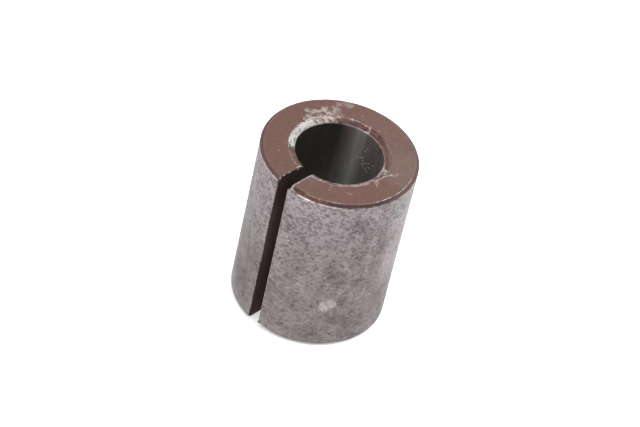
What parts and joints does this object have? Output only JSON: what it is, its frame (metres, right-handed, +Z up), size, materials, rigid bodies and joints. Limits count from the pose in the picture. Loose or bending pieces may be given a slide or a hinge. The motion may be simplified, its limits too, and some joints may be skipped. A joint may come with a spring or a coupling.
{
  "type": "split sleeve shaft collar",
  "caption": "Thick-walled steel sleeve, bored through and sawn open along one side, that clamps on a shaft.",
  "frame": {"origin": "middle of the lower end face, on the bore's axis", "axes": "+Z up along the bore; the saw slot faces -Y"},
  "size_m": [0.036, 0.0359, 0.0435],
  "materials": {
    "sleeve_steel": "dull grey pitted steel outside, brown film on both end faces, their edges and the slot walls, dark oiled bore, bare metal where the film has chipped"
  },
  "bodies": {
    "root": {"split_sleeve": "sleeve_steel"}
  },
  "joints": []
}
